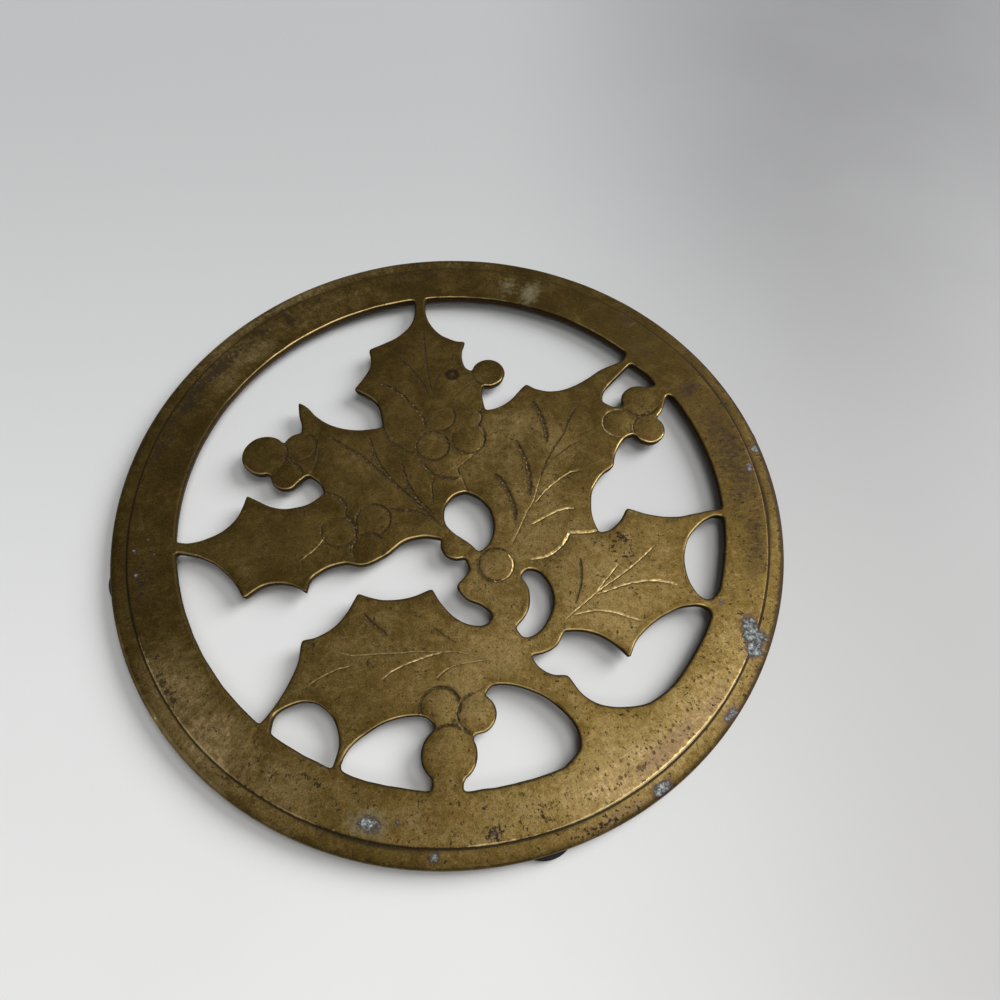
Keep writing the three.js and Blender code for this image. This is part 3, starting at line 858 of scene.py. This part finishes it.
class Brass(Shader):
    """Aged brass: each method lays some more coats over the colour so far."""

    def __init__(self, name):
        super().__init__(name)
        self.colour = rgb(74, 58, 22)
        # Lighter towards the lower right: partly wear, partly painted sheen
        self.polish_and_sheen = self.mask("polish_and_sheen")
        self.cloud = self.noise(9, 5, 0.62, distortion=0.5)
        self.mottle = self.noise(1.9, 5, 0.7, distortion=0.3)
        self.fleck = self.noise(1.1, 4, 0.7)
        self.grain = self.noise(0.42, 3, 0.6)
        self.scratches = self.noise(0.5, 2, 0.5, stretch=(18, 1, 1), turn=25)
        self.streaks = self.noise(0.6, 4, 0.7, place=self.mask("spun", "Vector"))
        self.band = self.mask("band")

    def coat(self, factor, *paint):
        self.colour = factor.tint(self.colour, rgb(*paint))

    def mottled(self, low, high):
        return self.mottle.ramp(0.35, 0.65, low, high)

    def patina(self):
        """Dark olive brown to rubbed brass, with flecks, grain and scratches, lighter towards the lower right
        partly as painted sheen.
        """
        rubbed = self.mask("rubbed")
        bare = self.polish_and_sheen * 0.62 + self.noise(32, 3, 0.55).ramp(0.32, 0.68, -0.16, 0.16)
        bare -= self.mask("dull") * self.mottled(0.55, 0.3)
        bare += self.cloud.span(-0.22, 0.22)
        bare += self.mottle.span(-0.19, 0.19)
        bare += rubbed * self.mottled(0.28, 0.46)
        bare -= self.mask("near_edge") * self.mottled(0.34, 0.14)
        bare += self.band * rubbed.ramp(0, 0.6, 0.3, 1) * self.streaks.span(-0.24, 0.24)
        self.coat(bare.ramp(0, 0.45), 99, 80, 39)
        self.coat(bare.ramp(0.4, 0.85), 132, 112, 71)
        self.coat(bare.ramp(0.85, 1.25), 180, 153, 113)
        self.coat(self.fleck.ramp(0.52, 0.68, 0, 0.5), 62, 48, 15)
        self.coat(self.noise(4.5, 4, 0.6).ramp(0.5, 0.68, 0, 0.42), 94, 82, 34)
        self.coat(self.noise(3.2, 5, 0.7).ramp(0.54, 0.68, 0, 0.36), 96, 66, 34)
        self.coat(self.grain.ramp(0.5, 0.7, 0, 0.42) * bare.ramp(0.1, 1.0, 0.3, 1), 172, 149, 106)
        self.coat(self.grain.ramp(0.48, 0.3, 0, 0.3), 60, 44, 16)
        self.coat(self.scratches.ramp(0.64, 0.76, 0, 0.3), 150, 126, 78)
        rubs = self.noise(0.7, 2, 0.5, stretch=(14, 1, 1), turn=-50)
        self.coat(rubs.ramp(0.6, 0.76, 0, 0.3), 62, 48, 18)

    def stains(self):
        """Brown stains, dark smudges, and scale with broken edges."""
        spatter = self.noise(0.9, 4, 0.75) * 0.65 + self.streaks * 0.45
        stained = (self.mask("stain") + spatter.ramp(0.38, 0.68, -0.75, 0.4)).ramp(0.2, 0.62)
        self.coat(stained * 0.75, 104, 84, 62)
        ragged = self.noise(1.9, 5, 0.72) + self.band * self.streaks.span(-0.12, 0.12)
        self.smudged = (self.mask("smudge") + ragged.span(-0.5, 0.2)).ramp(0.1, 0.7)
        self.coat(self.smudged * 0.75, 50, 36, 22)
        ragged = self.noise(1.0, 4, 0.62) + self.band * self.streaks.span(-0.1, 0.1)
        self.scaly = (self.mask("scale") + ragged.ramp(0.34, 0.66, -0.7, 0.4)).ramp(0.22, 0.42)
        self.coat(self.scaly * 0.9, 32, 24, 13)

    def pitting(self):
        """Pits of two sizes on the band, and small specks all over."""
        pitted = self.mask("pitted")
        spots = []
        for size, reach in ((2.5, 0.33), (1.4, 0.38)):
            distance, chance = self.cells(size)
            reach = chance.ramp(0.38, 0.72) * (pitted * reach) + self.fleck.span(-0.08, 0.04)
            spots.append((distance - reach).ramp(0.05, -0.05))
        self.pits = spots[0] | spots[1]
        self.coat(self.pits * 0.6, 92, 67, 39)
        distance, chance = self.cells(0.9)
        reach = chance.ramp(0.5, 0.85, -0.1, 0.32) + self.cloud.ramp(0.35, 0.65, -0.1, 0.1)
        self.specks = (distance - reach).ramp(0.06, -0.03)
        self.coat(self.specks * 0.28, 60, 44, 20)

    def lines(self):
        """Dirt and painted shade in and round the lines and under the step, painted glints, and painted
        highlights on the lines' lit edges.
        """
        # Painted shade round the lines
        self.coat(self.mask("near_line") * self.cloud.ramp(0.4, 0.7, 0.1, 0.4), 66, 51, 20)
        dark_line = self.mask("dark_line")
        # Dirt in the dark lines, and painted shade on the low side of the bright ones
        self.grime_and_shade = dark_line.ramp(0.03, 0.38) * self.fleck.ramp(0.38, 0.62, 1.0, 0.55)
        self.coat(self.grime_and_shade * 0.92, 36, 26, 10)
        glints = self.noise(0.6, 2, 0.5).ramp(0.58, 0.67, 0, 0.55)
        self.coat(glints * dark_line.ramp(0.4, 0.9), 176, 152, 98)
        # Painted highlights on the edges of the lines that face the light
        self.lip_highlights = self.mask("bright_line").ramp(0.12, 0.75) * self.fleck.ramp(0.38, 0.58, 0.3, 1.0)
        self.coat(self.lip_highlights * self.polish_and_sheen.ramp(0.1, 0.7, 0.6, 1.0), 224, 198, 138)
        # Dirt and painted shade under the step
        self.under = self.mask("grime_and_shade_under_step").ramp(0.1, 0.7) * self.mottled(0.75, 1.0)
        self.coat(self.under * 0.92, 30, 21, 9)

    def edges(self):
        """Step and arrises, partly rubbed and partly painted highlight, round blots, and the dark outline of
        the openings as painted shade.
        """
        step = (self.mask("step") + self.mottle.span(-0.25, 0.15)).ramp(0.15, 0.7)
        # Gold on the arrises and the step: partly wear, partly painted highlight where the edges face the
        # light
        self.worn_and_lit = (self.mask("arris") + self.cloud.span(-0.4, 0.2)).ramp(0.2, 0.9) | step
        self.coat(self.worn_and_lit * 0.75, 204, 176, 118)
        self.coat(step * 0.6, 236, 212, 160)
        blot = (self.mask("blot") + self.fleck.ramp(0.35, 0.65, -0.1, 0.1)).ramp(0.2, 0.85)
        self.coat(blot * 0.85, 40, 27, 20)
        # Dark outline of the openings: painted shade, thinner on edges that face the light
        self.edge = self.mask("outline") * self.mottle.span(0.7, 1.0)
        self.coat(self.edge * 0.94, 27, 18, 7)

    def skin(self):
        """Casting skin, which the walls and the back keep."""
        self.wall, self.back = self.mask("wall"), self.mask("back")
        self.coat(self.wall * self.mottle.span(0.75, 1.0), 60, 43, 18)
        cast = self.noise(3, 5, 0.65).ramp(0.35, 0.65).tint(rgb(66, 50, 26), rgb(104, 82, 44))
        self.colour = self.back.tint(self.colour, cast)

    def crust(self):
        """Pale film, and corrosion crust with a dark halo."""
        self.film = (self.mask("haze") + self.noise(1.6, 5, 0.75).span(-0.5, 0.25)).ramp(0.1, 0.75)
        self.coat(self.film * 0.6, 128, 124, 100)
        eaten = self.mask("corrosion") + self.noise(1.8, 5, 0.75).span(-0.34, 0.26)
        self.coat(eaten.ramp(0.2, 0.38) * 0.85, 70, 55, 52)
        self.bloom = eaten.ramp(0.42, 0.66)
        self.crumbs = self.noise(1.1, 5, 0.75)
        crust = self.crumbs.ramp(0.42, 0.5).tint(rgb(74, 66, 68), rgb(128, 138, 136))
        crust = self.crumbs.ramp(0.52, 0.62).tint(crust, rgb(196, 206, 202))
        self.colour = (self.bloom * 0.9).tint(self.colour, crust)

    def gloss(self):
        """Roughness and metal: dull under dirt, crust and the painted shade, bright on wear and the painted
        highlights.
        """
        dull = self.bloom | self.edge | (self.scaly | self.grime_and_shade) * 0.9 | (self.film | self.pits) * 0.6
        dull = dull | self.under * 0.8 | self.smudged * 0.6
        rough = self.cloud.span(0.38, 0.5) + self.grain.span(-0.04, 0.04)
        for factor, level in (
            (self.worn_and_lit * 0.85, 0.26), (dull, 0.85), (self.back | self.wall, 0.6), (self.lip_highlights * 0.8, 0.3),
        ):
            rough = factor.level(rough, level)
        return rough, dull.level(0.82, 0.1)

    def relief(self):
        """Fine unevenness, scratches, pits, crust and the rough casting skin."""
        surface = None
        for height, distance, strength in (
            (self.noise(0.9, 4, 0.6), 0.03, 0.6),
            (self.scratches, 0.015, 0.5),
            ((self.pits | self.specks * 0.4).ramp(0, 1, 1, 0), 0.04, 0.8),
            (self.bloom * self.crumbs, 0.25, 0.9),
            ((self.back + self.wall) * self.noise(0.8, 4, 0.65), 0.2, 0.8),
        ):
            surface = self.bump(height, distance, strength, surface)
        return surface


def brass_material():
    brass = Brass("aged_brass")
    for lay in (brass.patina, brass.stains, brass.pitting, brass.lines, brass.edges, brass.skin, brass.crust):
        lay()
    rough, metal = brass.gloss()
    brass.set(
        Base_Color=brass.colour, Roughness=rough, Metallic=metal, Normal=brass.relief(),
        Specular_IOR_Level=0.15,
    )
    return brass.material


def rubber_material():
    rubber = Shader("black_rubber")
    fine = rubber.noise(0.5, 4, 0.6)
    dust = rubber.noise(3, 5, 0.65).ramp(0.45, 0.75)
    colour = fine.ramp(0.3, 0.7).tint(rgb(16, 13, 16), rgb(30, 25, 29))
    rubber.set(
        Base_Color=(dust * 0.2).tint(colour, rgb(84, 76, 80)),
        Roughness=fine.span(0.58, 0.74),
        Normal=rubber.bump(fine, 0.03, 0.7),
        Specular_IOR_Level=0.25,
    )
    return rubber.material


def table_material():
    """A pale table with painted shade: darker towards the back and the right. Its places are in metres."""
    table = Shader("pale_table")
    forward, sideways = (table.node("SeparateXYZ", {"Vector": table.place}, axis) for axis in "YX")
    near = forward.ramp(0.24, -0.24, interpolation_type="SMOOTHSTEP")
    right = sideways.ramp(0, 0.16, interpolation_type="SMOOTHSTEP")
    grey = near.tint(rgb(185, 187, 188), rgb(228, 228, 227))
    grey = right.tint(grey, near.tint(rgb(147, 147, 149), rgb(198, 197, 196)))
    grey = table.noise(90, 3, 0.5).ramp(0.35, 0.65, 0, 0.12).tint(grey, rgb(190, 190, 190))
    table.set(
        Base_Color=grey, Roughness=0.5, Specular_IOR_Level=0.3,
        Normal=table.bump(table.noise(1.2, 3, 0.5), 0.02, 0.3),
    )
    return table.material


def arc(centre_r, centre_z, radius, start, end, steps):
    """Points of a rounding, from one angle to another in degrees."""
    turns = [math.radians(start + (end - start) * step / steps) for step in range(steps + 1)]
    return [(centre_r + radius * math.cos(turn), centre_z + radius * math.sin(turn)) for turn in turns]


def pad_profile(radius, height):
    """Half section of a pad, as radius and height, from the foot's middle to the top's."""
    foot = radius - PAD_FOOT_INSET
    toe, shoulder = PAD_FOOT_ROUNDING, PAD_SHOULDER_ROUNDING
    return [
        (0, PAD_DISH), (foot * 0.62, PAD_DISH), (foot * 0.7, 0.13), (foot * 0.75, 0.02), (foot * 0.78, 0),
        *arc(foot - toe, toe, toe, -90, 0, 6),
        # A fine parting line half way up
        (foot + 0.1, 1.2), (foot + 0.16, 1.32), (foot + 0.12, 1.36), (foot + 0.17, 1.42),
        (radius - 0.02, 1.9),
        *arc(radius - shoulder, height - shoulder, shoulder, 0, 90, 7)[1:],
        (0, height),
    ]


def pad_mesh(name):
    """A moulded pad, turned from its profile."""
    low, high = (Vector(corner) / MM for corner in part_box(name))
    x, y, _ = (low + high) / 2
    profile = pad_profile((high.x - low.x) / 2, high.z)
    turns = [math.tau * i / PAD_SEGMENTS for i in range(PAD_SEGMENTS)]
    vertices = [(x, y, profile[0][1])]
    for r, z in profile[1:-1]:
        vertices += [(x + r * math.cos(turn), y + r * math.sin(turn), z) for turn in turns]
    vertices.append((x, y, profile[-1][1]))
    last = len(vertices) - 1
    starts = range(1, last, PAD_SEGMENTS)
    faces = []
    for i in range(PAD_SEGMENTS):
        j = (i + 1) % PAD_SEGMENTS
        faces.append((0, 1 + j, 1 + i))
        for lower, upper in zip(starts, starts[1:]):
            faces.append((lower + i, lower + j, upper + j, upper + i))
        faces.append((starts[-1] + i, starts[-1] + j, last))
    mesh = bpy.data.meshes.new(f"{name}_moulding")
    mesh.from_pydata([Vector(v) * MM for v in vertices], [], faces)
    mesh.polygons.foreach_set("use_smooth", [True] * len(mesh.polygons))
    return mesh


def placed(name, data):
    made = bpy.data.objects.new(name, data)
    bpy.context.scene.collection.objects.link(made)
    return made


def add_piece(name, mesh, material, node):
    mesh.materials.append(material)
    piece = placed(name, mesh)
    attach(piece, "root")
    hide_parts(node)


def add_floor():
    far = 30.0
    mesh = bpy.data.meshes.new("table")
    mesh.from_pydata([(-far, -far, 0), (far, -far, 0), (far, far, 0), (-far, far, 0)], [], [(0, 1, 2, 3)])
    mesh.materials.append(table_material())
    floor = placed("table", mesh)


def add_lamp(name, direction, spread, strength, colour):
    """Even light, as from a window `spread` degrees across."""
    data = bpy.data.lights.new(name, "SUN")
    data.angle, data.energy, data.color = math.radians(spread), strength, colour
    lamp = placed(name, data)
    lamp.location = direction
    lamp.rotation_mode = "QUATERNION"
    lamp.rotation_quaternion = (-Vector(direction)).to_track_quat("-Z", "Y")


def add_world(colour, strength):
    world = bpy.data.worlds.new("room")
    world.use_nodes = True
    inputs = world.node_tree.nodes["Background"].inputs
    inputs["Color"].default_value, inputs["Strength"].default_value = colour, strength
    bpy.context.scene.world = world


def add_camera():
    """The photograph's view, from above the near edge."""
    data = bpy.data.cameras.new("view")
    data.lens, data.sensor_width, data.clip_start = 27.036, 36, 0.01
    back = Vector((-0.0344, -0.4641, 0.8851)).normalized()
    right = Vector((0, 0.8856, 0.4644)).cross(back).normalized()
    turned = Matrix((right, back.cross(right), back)).transposed().to_4x4()
    camera = placed("view", data)
    camera.matrix_world = Matrix.Translation((0.00649, -0.1065, 0.2044 + PLATE_TOP * MM)) @ turned
    bpy.context.scene.camera = camera


add_camera()
add_floor()
add_world((0.84, 0.85, 0.86, 1), 0.12)
for lamp in LAMPS:
    add_lamp(*lamp)

add_piece("engraved_casting", casting_mesh(), brass_material(), "openwork_plate")
rubber = rubber_material()
for pad in sorted(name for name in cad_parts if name.startswith("foot_pad_")):
    add_piece(pad.replace("foot_pad", "rubber_pad"), pad_mesh(pad), rubber, pad)

bpy.context.scene.view_settings.view_transform = "Standard"
